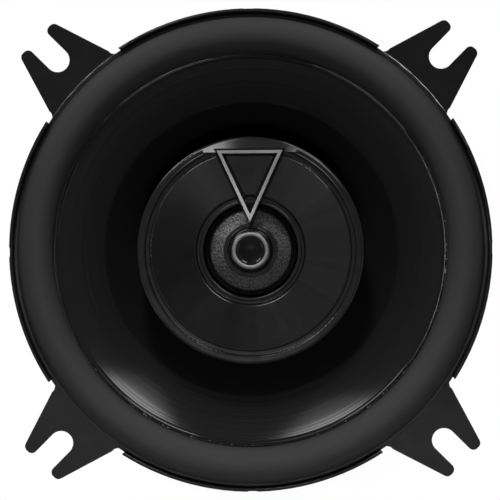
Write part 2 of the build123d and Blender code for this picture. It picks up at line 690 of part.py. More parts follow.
def blade(x, width):
    """A flat quick-connect terminal riveted to the board and pointing towards -Y."""
    root_width, root_length, tip_chamfer = 4.6, 4.4, 0.8
    latch_hole, latch_inset = 0.6, 2.9
    root_y = BOARD_Y + root_length / 2
    with BuildPart() as tongue:
        with BuildSketch(Plane.XY.offset(BOARD_TOP)) as outline:
            with Locations((x, (root_y + BLADE_TIP_Y) / 2)):
                Rectangle(width, root_y - BLADE_TIP_Y)
            chamfer(outline.vertices().group_by(Axis.Y)[0], tip_chamfer)
            with Locations((x, BOARD_Y)):
                Rectangle(root_width, root_length)
                Circle(SMALL_RIVET + CLEAR, mode=Mode.SUBTRACT)
            with Locations((x, BLADE_TIP_Y + latch_inset)):
                Circle(latch_hole, mode=Mode.SUBTRACT)
        extrude(amount=BLADE_THICKNESS)
    return tongue


save(blade(BLADE_X, POSITIVE_WIDTH), "terminal_positive")
save(blade(-BLADE_X, NEGATIVE_WIDTH), "terminal_negative")


def small_rivet(x, low, high):
    """A tubular rivet along Z at one x, its heads outside the two heights."""
    head_radius, head_height, head_rounding = 1.7, 0.45, 0.3
    with BuildPart() as rivet:
        with Locations((x, BOARD_Y, low - head_height)):
            Cylinder(head_radius, head_height, align=UPWARDS)
        with Locations((x, BOARD_Y, low)):
            Cylinder(SMALL_RIVET, high - low, align=UPWARDS)
        with Locations((x, BOARD_Y, high)):
            Cylinder(head_radius, head_height, align=UPWARDS)
        fillet(rivet.faces().sort_by(Axis.Z)[-1].edges(), head_rounding)
    return rivet.part


with BuildPart() as terminal_rivets:
    add(small_rivet(0, BOARD_BOTTOM - SHEET, BOARD_TOP))
    add(small_rivet(-BLADE_X, BOARD_BOTTOM, BOARD_TOP + BLADE_THICKNESS))
    add(small_rivet(BLADE_X, BOARD_BOTTOM, BOARD_TOP + BLADE_THICKNESS))
save(terminal_rivets, "terminal_rivets")

# The capacitor lies on the magnet beside the top plate, its axis square to the speaker's radius.
cap_bearing, cap_distance = radians(-68), 35.2
cap_height = MAGNET_TOP + CAP_RADIUS + CLEAR
cap_middle = Vector(cap_distance * cos(cap_bearing), cap_distance * sin(cap_bearing), cap_height)
cap_axis = Vector(-sin(cap_bearing), cos(cap_bearing), 0)
with BuildPart() as capacitor:
    with Locations(Plane(cap_middle, z_dir=cap_axis)):
        Cylinder(CAP_RADIUS, CAP_LENGTH)
        seal_inset, seal_groove, seal_depth, end_rounding = 2.0, 0.6, 0.25, 0.5
        with Locations((0, 0, seal_inset - CAP_LENGTH / 2)):
            Torus(CAP_RADIUS + seal_groove - seal_depth, seal_groove, mode=Mode.SUBTRACT)
    fillet(capacitor.faces().filter_by(GeomType.PLANE).edges(), end_rounding)
save(capacitor, "capacitor")

near_end = cap_middle - cap_axis * (CAP_LENGTH / 2)
far_end = cap_middle + cap_axis * (CAP_LENGTH / 2)
joint_length, far_length, lead_height = 2.0, 1.8, LEDGE_TOP - 1.5
far_corner = far_end + cap_axis * far_length
cap_runs = (
    (near_end, near_end - cap_axis * joint_length),
    (
        far_end,
        far_corner,
        Vector(far_corner.X, far_corner.Y, lead_height),
        (CAP_LEAD_X, BOARD_Y, lead_height),
        (CAP_LEAD_X, BOARD_Y, BOARD_TOP + 0.8),
    ),
)
save(wire(BARE_WIRE_RADIUS, *cap_runs), "capacitor_leads")

back_run, side_run, wire_top = BACK + WIRE_RADIUS + CLEAR, -MAGNET_RADIUS - WIRE_RADIUS - 2 * CLEAR, -8.7
wire_spread = 5.2
wire_joint = near_end - cap_axis * (joint_length + CLEAR)
tweeter_runs = (
    (
        (WIRE_X + wire_spread, 0, wire_top),
        (WIRE_X, 0, wire_top),
        (WIRE_X, 0, back_run),
        (WIRE_X, side_run, back_run),
        (WIRE_X, side_run, -29.0),
        wire_joint - cap_axis * 2.2,
        wire_joint,
    ),
    (
        (-WIRE_X - wire_spread, 0, wire_top),
        (-WIRE_X, 0, wire_top),
        (-WIRE_X, 0, back_run),
        (-WIRE_X, side_run, back_run),
        (-WIRE_X, side_run, -28.0),
        (NEGATIVE_WIRE_X, BOARD_Y, -23.5),
        (NEGATIVE_WIRE_X, BOARD_Y, BOARD_TOP + 0.8),
    ),
)
save(wire(WIRE_RADIUS, *tweeter_runs), "tweeter_leads")
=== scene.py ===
"""Looks for the four-inch coaxial car speaker: procedural materials, turned soft parts, wiring and a studio.

Metres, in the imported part's own frame. The origin is the centre of the flange's rear face and the cone faces
+Z. Outlines and the places of small pieces are in millimetres, and are scaled as they are built.
"""

import json
import math
import random

import bpy
import numpy as np
from mathutils import Matrix, Vector


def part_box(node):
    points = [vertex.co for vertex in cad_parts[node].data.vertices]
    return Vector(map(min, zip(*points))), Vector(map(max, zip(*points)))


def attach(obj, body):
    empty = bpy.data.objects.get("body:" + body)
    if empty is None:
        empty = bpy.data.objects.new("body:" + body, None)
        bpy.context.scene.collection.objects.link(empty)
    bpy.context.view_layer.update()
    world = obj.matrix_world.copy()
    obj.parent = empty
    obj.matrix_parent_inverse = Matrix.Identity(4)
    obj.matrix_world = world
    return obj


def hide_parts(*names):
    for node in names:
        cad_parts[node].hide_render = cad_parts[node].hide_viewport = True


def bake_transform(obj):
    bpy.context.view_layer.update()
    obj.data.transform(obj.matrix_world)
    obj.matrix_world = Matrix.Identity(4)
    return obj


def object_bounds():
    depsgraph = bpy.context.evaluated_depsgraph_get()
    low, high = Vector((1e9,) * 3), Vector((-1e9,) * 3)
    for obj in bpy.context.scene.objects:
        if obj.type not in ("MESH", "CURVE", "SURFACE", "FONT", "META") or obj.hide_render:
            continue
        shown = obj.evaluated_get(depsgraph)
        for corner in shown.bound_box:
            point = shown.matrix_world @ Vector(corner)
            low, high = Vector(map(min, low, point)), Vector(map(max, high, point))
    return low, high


MM = 0.001
FULL_TURN = 2 * math.pi
FRAME, CONE, TWEETER = "frame", "cone_assembly", "tweeter_diaphragm"
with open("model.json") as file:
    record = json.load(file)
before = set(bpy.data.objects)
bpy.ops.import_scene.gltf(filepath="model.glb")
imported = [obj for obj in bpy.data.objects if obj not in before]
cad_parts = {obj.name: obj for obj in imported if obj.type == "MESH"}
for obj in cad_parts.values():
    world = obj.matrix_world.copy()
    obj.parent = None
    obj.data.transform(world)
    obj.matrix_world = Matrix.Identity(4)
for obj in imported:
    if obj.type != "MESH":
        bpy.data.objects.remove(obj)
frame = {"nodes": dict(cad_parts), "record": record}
cad_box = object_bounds()
nodes = frame["nodes"]


# ------------------------------------------------------------------------------------------- node helpers
class Graph:
    """A node tree that is put together one node at a time."""

    # For each kind of Mix node, its first value's input and its output.
    MIX_SOCKETS = {"FLOAT": (2, 0), "VECTOR": (4, 1), "RGBA": (6, 2)}

    def __init__(self, tree, shader):
        self.tree = tree
        self.shader = shader

    def put(self, name, value, node=None):
        """Sets an input of a node, the shader by default, to a number, a colour or another node's output."""
        socket = (node or self.shader).inputs[name]
        if isinstance(value, bpy.types.NodeSocket):
            self.tree.links.new(value, socket)
        else:
            socket.default_value = value

    def node(self, kind, settings=None, **inputs):
        """Adds a node. An input's name has underscores for its spaces."""
        made = self.tree.nodes.new("ShaderNode" + kind)
        for key, value in (settings or {}).items():
            setattr(made, key, value)
        for key, value in inputs.items():
            self.put(key.replace("_", " "), value, made)
        return made

    def math(self, operation, first, second=0.0):
        made = self.node("Math", {"operation": operation})
        self.put(0, first, made)
        self.put(1, second, made)
        return made.outputs[0]

    def vector(self, operation, first, second=None):
        made = self.node("VectorMath", {"operation": operation})
        self.put(0, first, made)
        if second is not None:
            self.put("Scale" if operation == "SCALE" else 1, second, made)
        return made.outputs["Value" if operation in ("DOT_PRODUCT", "LENGTH") else "Vector"]

    def mix(self, kind, factor, first, second):
        """Mixes two numbers, vectors or colours."""
        made = self.node("Mix", {"data_type": kind})
        start, output = self.MIX_SOCKETS[kind]
        self.put(0, factor, made)
        self.put(start, first, made)
        self.put(start + 1, second, made)
        return made.outputs[output]

    def fit(self, value, start, end, low, high, interpolation="LINEAR"):
        """Maps a value that runs from start to end onto one that runs from low to high."""
        made = self.node("MapRange", {"interpolation_type": interpolation}, Value=value)
        self.put("From Min", start, made)
        self.put("From Max", end, made)
        self.put("To Min", low, made)
        self.put("To Max", high, made)
        return made.outputs[0]


class Look(Graph):
    """A Principled material."""

    def __init__(self, name, color, roughness, metallic=0.0, specular=0.5):
        self.material = bpy.data.materials.new(name)
        self.material.use_nodes = True
        tree = self.material.node_tree
        super().__init__(tree, tree.nodes["Principled BSDF"])
        self.put("Base Color", (*color, 1.0))
        self.put("Roughness", roughness)
        self.put("Metallic", metallic)
        self.put("Specular IOR Level", specular)
        self.normal = None
        self.color = color
        self.roughness = roughness

    def place(self):
        """Object coordinates in metres, in the part's frame."""
        return self.node("TexCoord").outputs["Object"]

    def coordinate(self, axis):
        return self.node("SeparateXYZ", Vector=self.place()).outputs[axis]

    def radius(self):
        """Distance from the speaker's axis."""
        parts = self.node("SeparateXYZ", Vector=self.place())
        x2 = self.math("MULTIPLY", parts.outputs["X"], parts.outputs["X"])
        y2 = self.math("MULTIPLY", parts.outputs["Y"], parts.outputs["Y"])
        return self.math("SQRT", self.math("ADD", x2, y2))

    def bearing(self):
        """Unit vector straight out from the speaker's axis."""
        return self.vector("NORMALIZE", self.vector("MULTIPLY", self.place(), (1.0, 1.0, 0.0)))

    def ramp(self, value, low, high, start=0.3, end=0.7):
        """Maps a value that runs from start to end onto two numbers or colours, smoothly."""
        if isinstance(low, tuple):
            factor = self.fit(value, start, end, 0.0, 1.0, "SMOOTHSTEP")
            return self.mix("RGBA", factor, (*low, 1.0), (*high, 1.0))
        return self.fit(value, start, end, low, high, "SMOOTHSTEP")

    def noise(self, scale, detail=4.0, rough=0.6, vector=None):
        made = self.node("TexNoise", None, Scale=scale, Detail=detail, Roughness=rough)
        self.put("Vector", vector or self.place(), made)
        return made.outputs["Fac"]

    def rings(self, scale, detail=4.0):
        """Noise that changes only with distance from the axis, for turned and moulded circles."""
        made = self.node("TexNoise", {"noise_dimensions": "1D"}, Scale=scale, Detail=detail, Roughness=0.7)
        self.put("W", self.radius(), made)
        return made.outputs["Fac"]

    def spokes(self, scale):
        """Noise that changes only round the axis, for the flow lines of a part moulded from its centre."""
        return self.noise(scale, 3.0, 0.6, self.bearing())

    def bands(self, direction, scale, distortion=0.0):
        """Even waves, for threads and turns of wire."""
        settings = {"wave_type": "BANDS", "bands_direction": direction}
        made = self.node("TexWave", settings, Scale=scale, Distortion=distortion, Detail=1.0)
        self.put("Vector", self.place(), made)
        return made.outputs["Fac"]

    def set_normal(self, normal):
        self.normal = normal
        self.put("Normal", normal)

    def bump(self, height, depth, strength=1.0):
        """Adds a relief of the given depth in metres on top of any already there."""
        made = self.node("Bump", None, Strength=strength, Distance=depth, Height=height)
        if self.normal is not None:
            self.put("Normal", self.normal, made)
        self.set_normal(made.outputs["Normal"])

    def round_edges(self, size):
        """Softens hard CAD edges in shading by this many metres."""
        self.set_normal(self.node("Bevel", {"samples": 8}, Radius=size).outputs["Normal"])

    def true_turning(self, limit):
        """Takes out the sideways lean, up to this sine, that facets give the normal of a turned face."""
        normal = self.node("NewGeometry").outputs["Normal"]
        around = self.vector("CROSS_PRODUCT", (0.0, 0.0, 1.0), self.bearing())
        lean = self.vector("DOT_PRODUCT", normal, around)
        small = self.math("LESS_THAN", self.math("ABSOLUTE", lean), limit)
        sideways = self.vector("SCALE", around, self.math("MULTIPLY", lean, small))
        self.set_normal(self.vector("NORMALIZE", self.vector("SUBTRACT", normal, sideways)))

    def true_corner(self, radius, height, size, tolerance=0.02 * MM):
        """Gives a turned corner the normals of a true rounding, which facets would break up into dashes.

        The rounding has this size, and the centre of its section is at this radius and height.
        """
        out = self.math("SUBTRACT", self.radius(), radius)
        up = self.math("SUBTRACT", self.coordinate("Z"), height)
        outward = self.vector("SCALE", self.bearing(), out)
        spoke = self.vector("ADD", outward, self.vector("SCALE", (0.0, 0.0, 1.0), up))
        miss = self.math("ABSOLUTE", self.math("SUBTRACT", self.vector("LENGTH", spoke), size))
        near = self.math("LESS_THAN", miss, tolerance)
        within = self.math("MULTIPLY", near, self.math("GREATER_THAN", up, 0.0))
        self.set_normal(self.mix("VECTOR", within, self.normal, self.vector("NORMALIZE", spoke)))

    def turned(self, amount):
        """Draws reflections out along the radius, as circular tool marks do."""
        self.put("Tangent", self.node("Tangent", {"direction_type": "RADIAL", "axis": "Z"}).outputs[0])
        self.put("Anisotropic", amount)
        self.put("Anisotropic Rotation", 0.25)

    def vary(self, amount, scale):
        """Uneven colour and gloss, as handling and moulding leave."""
        dark = tuple(c * (1 - amount) for c in self.color)
        light = tuple(min(1.0, c * (1 + amount)) for c in self.color)
        self.put("Base Color", self.ramp(self.noise(scale), dark, light))
        fine = self.noise(scale * 4.0)
        self.put("Roughness", self.ramp(fine, self.roughness * 0.9, min(1.0, self.roughness * 1.12)))


# ------------------------------------------------------------------------------------------- materials
def black_steel():
    """Black coated sheet steel with a faint orange peel."""
    look = Look("basket_black", (0.006, 0.006, 0.0062), 0.16, specular=0.45)
    look.round_edges(0.15 * MM)
    look.vary(0.12, 90.0)
    look.bump(look.noise(5200.0, 2.0), 0.004 * MM, 0.5)
    look.bump(look.noise(420.0, 3.0), 0.01 * MM, 0.25)
    return look.material


def boot_rubber():
    """Moulded black rubber with a fine skin."""
    look = Look("boot_rubber", (0.02, 0.02, 0.02), 0.62)
    look.vary(0.2, 120.0)
    look.bump(look.noise(1500.0, 3.0), 0.01 * MM, 0.45)
    return look.material


def cone_plastic():
    """Black film with fine turned lines, which only show where they break up a reflection."""
    look = Look("cone_black", (0.005, 0.005, 0.0052), 0.15)
    look.turned(0.45)
    look.put("Roughness", look.ramp(look.rings(3000.0), 0.10, 0.13))
    look.put("Specular IOR Level", look.ramp(look.rings(4000.0, 1.0), 0.2, 0.52, 0.38, 0.62))
    look.bump(look.rings(5200.0, 2.0), 0.004 * MM, 0.55)
    look.bump(look.noise(260.0, 2.0), 0.01 * MM, 0.3)
    return look.material


def surround_rubber():
    """Soft matt rubber with a very fine skin, and painted shade that darkens its hem on the far side."""
    look = Look("surround_rubber", (0.028, 0.028, 0.029), 0.62, specular=0.25)
    hem = look.ramp(look.radius(), 0.0, 1.0, 49.35 * MM, 49.6 * MM)
    far = look.ramp(look.coordinate("Y"), 0.0, 1.0, 0.0, 20.0 * MM)
    glue_and_painted_light = look.math("MULTIPLY", hem, far)
    # Painted shade: the hem is near black on the far side, as shade in the gap by the basket's lip.
    look.put("Base Color", look.ramp(glue_and_painted_light, look.color, (0.003, 0.003, 0.003), 0.0, 1.0))
    look.bump(look.noise(2600.0, 3.0), 0.008 * MM, 0.4)
    return look.material


def satin_plastic():
    """Glossy moulded black, duller in the plug's dish, with a true rounding on the groove's outer edge."""
    look = Look("tweeter_black", (0.0045, 0.0045, 0.0047), 0.14)
    look.vary(0.12, 80.0)
    flow = look.ramp(look.spokes(6.0), 0.56, 0.72, 0.35, 0.65)
    dish = look.ramp(look.radius(), 0.3, 1.0, 3.6 * MM, 4.4 * MM)
    look.put("Specular IOR Level", look.math("MULTIPLY", flow, dish))
    look.turned(0.35)
    look.true_turning(0.12)
    look.true_corner(radius=22.57 * MM, height=3.1 * MM, size=0.3 * MM)
    return look.material


def silver(name, color, metallic):
    """Silver trim with a very fine satin grain."""
    look = Look(name, color, 0.5, metallic=metallic)
    look.round_edges(0.04 * MM)
    look.vary(0.1, 300.0)
    look.bump(look.noise(6000.0, 2.0), 0.008 * MM, 0.5)
    return look.material


def metal(name, color, roughness, turned=True):
    """Bare metal, with turned rings or a plain grain."""
    look = Look(name, color, roughness, metallic=1.0)
    look.round_edges(0.15 * MM)
    look.vary(0.18, 150.0)
    if turned:
        look.bump(look.rings(2600.0, 5.0), 0.012 * MM, 0.5)
    else:
        look.bump(look.noise(2500.0, 4.0), 0.01 * MM, 0.5)
    return look.material


def ferrite():
    """Pressed ceramic magnet: dark, matt and slightly pitted."""
    look = Look("ferrite", (0.045, 0.045, 0.048), 0.62, metallic=0.2)
    look.round_edges(0.2 * MM)
    look.vary(0.35, 180.0)
    look.bump(look.noise(1600.0, 6.0), 0.03 * MM, 0.7)
    return look.material


def cloth(name, color, roughness, pitch, depth):
    """Woven cloth: two crossed sets of threads at this pitch in metres."""
    look = Look(name, color, roughness, specular=0.25)
    radians_per_scale = 20  # how far a wave texture of scale 1 turns in a metre
    scale = FULL_TURN / pitch / radians_per_scale
    weave = look.math("MULTIPLY", look.bands("X", scale, 0.6), look.bands("Y", scale, 0.6))
    dark = tuple(c * 0.55 for c in color)
    look.put("Base Color", look.ramp(weave, dark, color, 0.0, 0.8))
    look.bump(weave, depth, 0.8)
    look.bump(look.noise(1500.0, 4.0), depth, 0.4)
    look.put("Sheen Weight", 0.15)
    return look.material


def dome_silk():
    """Coated silk with a coarse irregular grain, and painted shade that makes it near black and dull where it
    folds down into the throat.
    """
    look = Look("dome_silk", (0.12, 0.12, 0.122), 0.42)
    fold = (8.25 * MM, 8.65 * MM)
    grain = look.noise(3100.0, 1.0, 0.7)
    grey = look.ramp(grain, (0.006, 0.006, 0.0062), (0.092, 0.092, 0.094), 0.38, 0.64)
    # Painted shade: near black, with weak reflections, beyond the fold and on the tweeter's roll, as shade in
    # the throat.
    shade = look.ramp(look.radius(), 0.0, 1.0, *fold)
    look.put("Base Color", look.mix("RGBA", shade, grey, (0.002, 0.002, 0.002, 1.0)))
    look.put("Specular IOR Level", look.ramp(look.radius(), 0.4, 0.05, *fold))
    look.bump(grain, 0.05 * MM, 0.7)
    return look.material


def laminate():
    """Brown fibre board."""
    look = Look("board_laminate", (0.30, 0.145, 0.055), 0.45)
    look.round_edges(0.12 * MM)
    fibre = look.noise(700.0, 6.0)
    look.put("Base Color", look.ramp(fibre, (0.20, 0.09, 0.035), (0.36, 0.18, 0.075)))
    look.bump(fibre, 0.01 * MM, 0.5)
    return look.material


def sleeve():
    """The capacitor's dark blue shrink sleeve."""
    look = Look("capacitor_sleeve", (0.012, 0.02, 0.055), 0.28)
    look.round_edges(0.2 * MM)
    look.vary(0.2, 100.0)
    look.bump(look.noise(500.0, 3.0), 0.02 * MM, 0.4)
    return look.material


def wire_jacket():
    """One jacket is red and the other black, told apart by which side of the speaker they are on."""
    black, red = (0.012, 0.012, 0.012), (0.33, 0.012, 0.01)
    look = Look("wire_jacket", black, 0.42)
    look.put("Base Color", look.ramp(look.coordinate("X"), black, red, -0.1 * MM, 0.1 * MM))
    look.bump(look.noise(1800.0, 3.0), 0.01 * MM, 0.5)
    return look.material


def braid():
    """Plaited copper strands."""
    look = Look("braid", (0.55, 0.30, 0.15), 0.42, metallic=1.0)
    strands = look.bands("DIAGONAL", 520.0)
    look.bump(strands, 0.06 * MM, 0.7)
    look.put("Base Color", look.ramp(strands, (0.28, 0.14, 0.07), (0.70, 0.42, 0.24), 0.1, 0.8))
    return look.material


def copper():
    """Enamelled wire, wound round the axis."""
    look = Look("copper_wire", (0.55, 0.17, 0.06), 0.3, metallic=1.0)
    look.bump(look.bands("Z", 1600.0), 0.03 * MM, 0.8)
    return look.material


def glue(name, color, roughness):
    """Glossy set glue with uneven lumps."""
    look = Look(name, color, roughness)
    look.vary(0.3, 300.0)
    look.bump(look.noise(700.0, 3.0), 0.05 * MM, 0.5)
    return look.material


LOOKS = {
    "basket_steel": black_steel(),
    "zinc_steel": metal("zinc_steel", (0.50, 0.50, 0.47), 0.34),
    "plate_steel": metal("plate_steel", (0.36, 0.36, 0.345), 0.38),
    "ferrite": ferrite(),
    "boot_rubber": boot_rubber(),
    "cone_poly": cone_plastic(),
    "surround_rubber": surround_rubber(),
    "spider_cloth": cloth("spider_cloth", (0.52, 0.37, 0.17), 0.75, 0.45 * MM, 0.06 * MM),
    "former_kapton": metal("former_foil", (0.55, 0.55, 0.55), 0.3, turned=False),
    "copper_wire": copper(),
    "braid": braid(),
    "tweeter_abs": satin_plastic(),
    "trim_silver": silver("plated_silver", (0.36, 0.363, 0.37), 1.0),
    "dome_silk": dome_silk(),
    "neodymium": metal("nickel", (0.6, 0.58, 0.54), 0.22),
    "felt": cloth("felt", (0.12, 0.12, 0.115), 0.95, 0.3 * MM, 0.08 * MM),
    "board_laminate": laminate(),
    "tinned_brass": metal("tinned_brass", (0.68, 0.66, 0.6), 0.3, turned=False),
    "capacitor_sleeve": sleeve(),
    "lead_wire": metal("lead_wire", (0.62, 0.62, 0.6), 0.3, turned=False),
    "wire_insulation": wire_jacket(),
}
BLACK_GLUE = glue("black_glue", (0.012, 0.012, 0.012), 0.1)
# The pale and the white glue are glue whose paleness is partly a painted glint; the white one is for the
# brighter lit line on the right far ear.
PAINTED_GLINT_GLUE = glue("glue_with_painted_glint", (0.26, 0.26, 0.255), 0.12)
BRIGHTER_PAINTED_GLINT_GLUE = glue("glue_with_brighter_painted_glint", (0.72, 0.72, 0.71), 0.12)
SOLDER = metal("solder", (0.6, 0.6, 0.58), 0.25, turned=False)

for entry in frame["record"]["subparts"]:
    mesh = nodes[entry["node"]].data
    for place in range(max(1, len(mesh.materials))):
        if len(mesh.materials) <= place:
            mesh.materials.append(None)
        mesh.materials[place] = LOOKS[entry["material_slot"]]
# The triangle is printed foil, flatter and less mirror-like than the plated ring.
nodes["trim_triangle"].data.materials[0] = silver("printed_silver", (0.28, 0.283, 0.288), 0.5)


# ------------------------------------------------------------------------------------------- mesh helpers
POLE = 1e-6  # a radius below this is on the axis


def add_mesh(name, vertices, faces, material, smooth_angle=35.0):
    """A mesh from points in metres, shaded smooth but where faces meet at over smooth_angle degrees."""
    mesh = bpy.data.meshes.new(name)
    mesh.from_pydata([tuple(v) for v in vertices], [], faces)
    mesh.validate()
    mesh.materials.append(material)
    mesh.polygons.foreach_set("use_smooth", [True] * len(mesh.polygons))
    mesh.set_sharp_from_angle(angle=math.radians(smooth_angle))
    obj = bpy.data.objects.new(name, mesh)
    bpy.context.scene.collection.objects.link(obj)
    return obj


def lathe(name, profile, material, segments, smooth_angle, wobble=None):
    """Turns a closed outline of (radius, height) in millimetres round the axis.

    A radius of 0 closes it at a pole, and wobble may move a point by its angle round the axis.
    """
    vertices, rows = [], []
    for radius, height in profile:
        if radius < POLE:
            rows.append([len(vertices)] * segments)
            vertices.append((0.0, 0.0, height * MM))
            continue
        rows.append(range(len(vertices), len(vertices) + segments))
        for step in range(segments):
            angle = FULL_TURN * step / segments
            r, z = (radius, height) if wobble is None else wobble(radius, height, angle)
            vertices.append((r * MM * math.cos(angle), r * MM * math.sin(angle), z * MM))
    faces = []
    closed = profile[0][0] > POLE or profile[-1][0] > POLE
    for i in range(len(rows) if closed else len(rows) - 1):
        a, b = rows[i], rows[(i + 1) % len(rows)]
        for step in range(segments):
            after = (step + 1) % segments
            corners = [a[step], a[after], b[after], b[step]]
            unique = [c for k, c in enumerate(corners) if c not in corners[:k]]
            if len(unique) > 2:
                faces.append(unique)
    return add_mesh(name, vertices, faces, material, smooth_angle)


def arc(centre, radius, start, end, steps):
    """Points on an arc, in degrees."""
    angles = np.radians(np.linspace(start, end, steps))
    return [(centre[0] + radius * math.cos(a), centre[1] + radius * math.sin(a)) for a in angles]


def three_point_arc(a, b, c, steps):
    """Points on the arc from a through b to c."""
    (ax, ay), (bx, by), (cx, cy) = a, b, c
    d = 2 * (ax * (by - cy) + bx * (cy - ay) + cx * (ay - by))
    ux = ((ax**2 + ay**2) * (by - cy) + (bx**2 + by**2) * (cy - ay) + (cx**2 + cy**2) * (ay - by)) / d
    uy = ((ax**2 + ay**2) * (cx - bx) + (bx**2 + by**2) * (ax - cx) + (cx**2 + cy**2) * (bx - ax)) / d
    start, middle, end = (math.atan2(y - uy, x - ux) for x, y in (a, b, c))
    turn = (end - start) % FULL_TURN
    if (middle - start) % FULL_TURN > turn:
        turn -= FULL_TURN
    radius = math.hypot(ax - ux, ay - uy)
    angles = [start + turn * k / (steps - 1) for k in range(steps)]
    return [(ux + radius * math.cos(angle), uy + radius * math.sin(angle)) for angle in angles]


def radial_blend(obj):
    """Bakes the transform of an annular suspension into its mesh.
    """
    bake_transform(obj)


def tube(name, path, radius, material, sides, twist=0.0, lobes=0.0, swell=None):
    """A cord along a list of points in metres, closed at both ends.

    Lobes and twist make it look plaited, and swell is a list that scales its radius at each point.
    """
    points = [Vector(p) for p in path]
    vertices, faces, normal = [], [], None
    for i, point in enumerate(points):
        ahead = points[min(i + 1, len(points) - 1)] - points[max(i - 1, 0)]
        ahead.normalize()
        if normal is None:
            normal = ahead.orthogonal().normalized()
        normal = (normal - ahead * normal.dot(ahead)).normalized()
        side = ahead.cross(normal)
        for k in range(sides):
            angle = FULL_TURN * k / sides
            r = radius * (1 + lobes * math.cos(3 * (angle + twist * i))) * (swell[i] if swell else 1.0)
            vertices.append(point + normal * (r * math.cos(angle)) + side * (r * math.sin(angle)))
    for i in range(len(points) - 1):
        for k in range(sides):
            n = (k + 1) % sides
            faces.append((i * sides + k, i * sides + n, (i + 1) * sides + n, (i + 1) * sides + k))
    faces.append(tuple(reversed(range(sides))))
    faces.append(tuple((len(points) - 1) * sides + k for k in range(sides)))
    return add_mesh(name, vertices, faces, material, 50.0)


def smooth_path(corners, steps):
    """A Catmull-Rom curve through the corners, in metres."""
    pts = [Vector(corners[0]) * 2 - Vector(corners[1])] + [Vector(c) for c in corners]
    pts.append(pts[-1] * 2 - pts[-2])
    out = []
    for i in range(1, len(pts) - 2):
        p0, p1, p2, p3 = pts[i - 1 : i + 3]
        for s in range(steps):
            t = s / steps
            a = p1 * 2
            b = (p2 - p0) * t
            c = (p0 * 2 - p1 * 5 + p2 * 4 - p3) * t * t
            d = (p1 * 3 - p0 - p2 * 3 + p3) * t**3
            out.append((a + b + c + d) * 0.5)
    out.append(pts[-2])
    return out


def ball_faces(first, around, levels):
    """Faces of a ball whose vertices run from its top, through levels - 1 rings, to its bottom."""
    last = first + 1 + (levels - 1) * around
    faces = []
    for k in range(around):
        n = (k + 1) % around
        faces.append((first, first + 1 + k, first + 1 + n))
        for level in range(levels - 2):
            row = first + 1 + level * around
            faces.append((row + k, row + around + k, row + around + n, row + n))
        faces.append((last, last - around + n, last - around + k))
    return faces


def blob(name, centre, size, material, seed, flat=0.6):
    """A settled drop of glue or solder: a squashed ball with a few soft lumps, in millimetres."""
    rnd = random.Random(seed)
    waves = [(rnd.uniform(1.5, 4.0), rnd.uniform(0, 6.28), rnd.uniform(0, 6.28)) for _ in range(4)]
    lumps, levels, around = 0.12, 14, 22
    x, y, z = centre
    points = [(x, y, z + size * flat)]
    for i in range(1, levels):
        polar = math.pi * i / levels
        for k in range(around):
            azimuth = FULL_TURN * k / around
            lump = sum(math.sin(f * azimuth + a) * math.sin(f * polar + b) for f, a, b in waves) / len(waves)
            out = size * (1 + lumps * lump * math.sin(polar)) * math.sin(polar)
            up = size * flat * math.cos(polar)
            points.append((x + out * math.cos(azimuth), y + out * math.sin(azimuth), z + up))
    points.append((x, y, z - size * flat))
    vertices = [Vector(point) * MM for point in points]
    return add_mesh(name, vertices, ball_faces(0, around, levels), material, 80.0)


def specks(name, places, material):
    """Many tiny flattened drops in one mesh. Each place is (radius, azimuth in degrees, height, size)."""
    around, levels, length, flat = 9, 5, 1.5, 0.6
    points, faces = [], []
    for radius, azimuth, height, size in places:
        faces += ball_faces(len(points), around, levels)
        a = math.radians(azimuth)
        x, y = radius * math.cos(a), radius * math.sin(a)
        points.append((x, y, height + flat * size))
        for level in range(1, levels):
            polar = math.pi * level / levels
            for k in range(around):
                turn = FULL_TURN * k / around
                along = length * size * math.sin(polar) * math.cos(turn)
                out = size * math.sin(polar) * math.sin(turn)
                px = x - along * math.sin(a) + out * math.cos(a)
                py = y + along * math.cos(a) + out * math.sin(a)
                points.append((px, py, height + flat * size * math.cos(polar)))
        points.append((x, y, height - flat * size))
    return add_mesh(name, [Vector(point) * MM for point in points], faces, material, 80.0)


# ------------------------------------------------------------------------------------------- cone
CONE_EDGE, CONE_CURVE, CONE_SLOPE, CONE_SWEEP, CONE_WALL = (41.0, 1.8), 64.5, 18.0, 30.0, 0.5
EDGE_ANGLE = 90.0 + CONE_SLOPE
FORMER, NECK_GAP, NECK_FLOOR = 12.7, 0.02, -18.4
# The trimmed edge stands slightly proud of the sheet. Its outline, outwards and upwards from the edge.
TRIMMED_EDGE = (
    (0.0, -0.42),
    (0.1, -0.2),
    (0.09, 0.03),
    (0.02, 0.12),
    (-0.1, 0.15),
    (-0.22, 0.08),
    (-0.3, -0.05),
)
cone_centre = (
    CONE_EDGE[0] + CONE_CURVE * math.sin(math.radians(CONE_SLOPE)),
    CONE_EDGE[1] - CONE_CURVE * math.cos(math.radians(CONE_SLOPE)),
)
front = arc(cone_centre, CONE_CURVE, EDGE_ANGLE + 0.45, EDGE_ANGLE + CONE_SWEEP, 90)
back = arc(cone_centre, CONE_CURVE - CONE_WALL, EDGE_ANGLE + CONE_SWEEP, EDGE_ANGLE, 60)
neck = [(FORMER + NECK_GAP, front[-1][1]), (FORMER + NECK_GAP, NECK_FLOOR), (FORMER + CONE_WALL, NECK_FLOOR)]
rim = [(CONE_EDGE[0] + out, CONE_EDGE[1] + up) for out, up in TRIMMED_EDGE]
cone = lathe("cone_shell", front + neck + back[:-1] + rim, LOOKS["cone_poly"], 360, 50.0)
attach(cone, CONE)
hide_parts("cone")

# ------------------------------------------------------------------------------------------- surround
SHEET, RUBBER, BOND_GAP, BOND_SWEEP = 0.8, 0.5, 0.01, 2.6
ROLL_START, ROLL_MIDDLE, ROLL_END, ROLL_RISE = 41.6, 45.5, 49.4, 3.6
top, bottom = SHEET + RUBBER, SHEET + BOND_GAP
